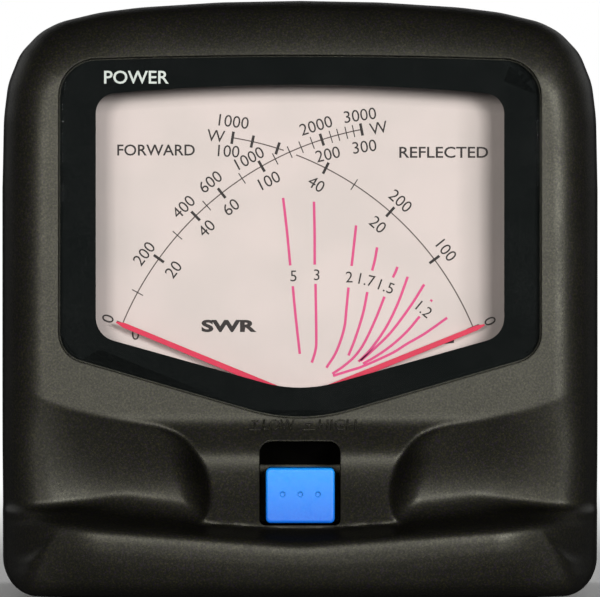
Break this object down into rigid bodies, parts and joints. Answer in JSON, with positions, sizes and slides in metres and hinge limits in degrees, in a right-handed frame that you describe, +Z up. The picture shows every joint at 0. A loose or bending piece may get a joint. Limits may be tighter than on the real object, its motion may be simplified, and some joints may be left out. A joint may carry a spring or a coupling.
{
  "type": "cross-needle swr power meter",
  "caption": "Free-standing radio power and SWR meter: dark rounded case, rounded-V window, crossing red needles over curved scales, blue range button, coaxial sockets behind.",
  "frame": {"origin": "centre of the bounding box on the plane the rubber feet stand on", "axes": "+X to the right seen from the front, +Y to the back (the dial faces -Y), +Z up"},
  "size_m": [0.1, 0.0998, 0.1009],
  "materials": {
    "case_plastic": "fine spark-eroded texture, satin",
    "clear_lens": "polished clear acrylic",
    "black_print": "gloss black print",
    "black_plastic": "matt black moulding",
    "dial_card": "matt off-white paint",
    "needle_red": "red lacquer on thin aluminium",
    "solder": "dull solder",
    "steel": "bright steel",
    "nickel": "nickel plate",
    "brass": "plain brass",
    "copper_wire": "enamelled copper winding",
    "spring_bronze": "phosphor bronze strip",
    "alnico": "ground magnet alloy",
    "soft_iron": "plated soft iron",
    "zinc_alloy": "die-cast alloy",
    "panel_black": "black powder coat on aluminium",
    "feet_rubber": "moulded rubber",
    "button_blue": "bright blue plastic",
    "grey_plastic": "switch moulding",
    "board": "green solder mask on glass-fibre",
    "tinplate": "tinned sheet",
    "ferrite": "dark ferrite",
    "diode_glass": "glass diode bodies",
    "lamp_glass": "small lamp bulbs",
    "ptfe": "white insulator",
    "trimmer_white": "trimmer body"
  },
  "bodies": {
    "case": {"ant_socket_contact": "brass", "ant_socket_insulator": "ptfe", "ant_socket_shell": "nickel", "case_screws": "steel", "coupler_board": "board", "coupler_box": "tinplate", "coupler_lid": "tinplate", "dc_jack": "black_plastic", "dc_jack_pin": "nickel", "detector_diodes": "diode_glass", "dial_plate": "dial_card", "dial_screws": "steel", "flange_screws": "steel", "forward_core_magnet": "alnico", "forward_front_bridge": "zinc_alloy", "forward_magnet_spacers": "zinc_alloy", "forward_rear_bridge": "zinc_alloy", "forward_yoke_ring": "soft_iron", "front_bezel": "case_plastic", "jewel_screws": "brass", "lamp_strip": "board", "lamps": "lamp_glass", "lens_border_film": "black_print", "meter_case": "black_plastic", "meter_lens": "clear_lens", "needle_stops": "steel", "rear_housing": "case_plastic", "rear_panel": "panel_black", "reflected_core_magnet": "alnico", "reflected_front_bridge": "zinc_alloy", "reflected_magnet_spacers": "zinc_alloy", "reflected_rear_bridge": "zinc_alloy", "reflected_yoke_ring": "soft_iron", "rubber_feet": "feet_rubber", "switch_board": "board", "switch_body": "black_plastic", "switch_spring": "steel", "through_conductor": "copper_wire", "toroid_core": "ferrite", "trimmer_bodies": "trimmer_white", "tx_socket_contact": "brass", "tx_socket_insulator": "ptfe", "tx_socket_shell": "nickel"},
    "forward_pointer": {"forward_needle": "needle_red", "forward_balance_weights": "solder", "forward_pivot_shafts": "steel", "forward_moving_coil": "copper_wire", "forward_hairsprings": "spring_bronze"},
    "forward_zero_set": {"forward_zero_lever": "brass"},
    "forward_trimmer": {"forward_trimmer_rotor": "brass"},
    "reflected_pointer": {"reflected_needle": "needle_red", "reflected_balance_weights": "solder", "reflected_pivot_shafts": "steel", "reflected_moving_coil": "copper_wire", "reflected_hairsprings": "spring_bronze"},
    "reflected_zero_set": {"reflected_zero_lever": "brass"},
    "reflected_trimmer": {"reflected_trimmer_rotor": "brass"},
    "range_button": {"push_button": "button_blue", "switch_plunger": "grey_plastic"}
  },
  "joints": [
    {"name": "forward_needle_swing", "type": "hinge", "parent": "case", "child": "forward_pointer", "pos_m": [0.0201, -0.0325, 0.0259], "axis": [0, 1, 0], "range_deg": [-1.5, 61]},
    {"name": "forward_zero_adjust", "type": "hinge", "parent": "case", "child": "forward_zero_set", "pos_m": [0.0201, -0.0373, 0.0259], "axis": [0, 1, 0], "range_deg": [-8, 8]},
    {"name": "forward_trimmer_turn", "type": "hinge", "parent": "case", "child": "forward_trimmer", "pos_m": [0.026, 0.0135, 0.0516], "axis": [0, 0, 1], "range_deg": [-135, 135]},
    {"name": "reflected_needle_swing", "type": "hinge", "parent": "case", "child": "reflected_pointer", "pos_m": [-0.0201, -0.0325, 0.0259], "axis": [0, -1, 0], "range_deg": [-1.5, 61]},
    {"name": "reflected_zero_adjust", "type": "hinge", "parent": "case", "child": "reflected_zero_set", "pos_m": [-0.0201, -0.0373, 0.0259], "axis": [0, 1, 0], "range_deg": [-8, 8]},
    {"name": "reflected_trimmer_turn", "type": "hinge", "parent": "case", "child": "reflected_trimmer", "pos_m": [-0.026, 0.0135, 0.0516], "axis": [0, 0, 1], "range_deg": [-135, 135]},
    {"name": "range_button_push", "type": "slide", "parent": "case", "child": "range_button", "axis": [0, 1, 0], "range_m": [0, 0.003], "stiffness_N_per_m": 250, "springref_m": -0.001, "deforming": ["switch_spring"]}
  ]
}
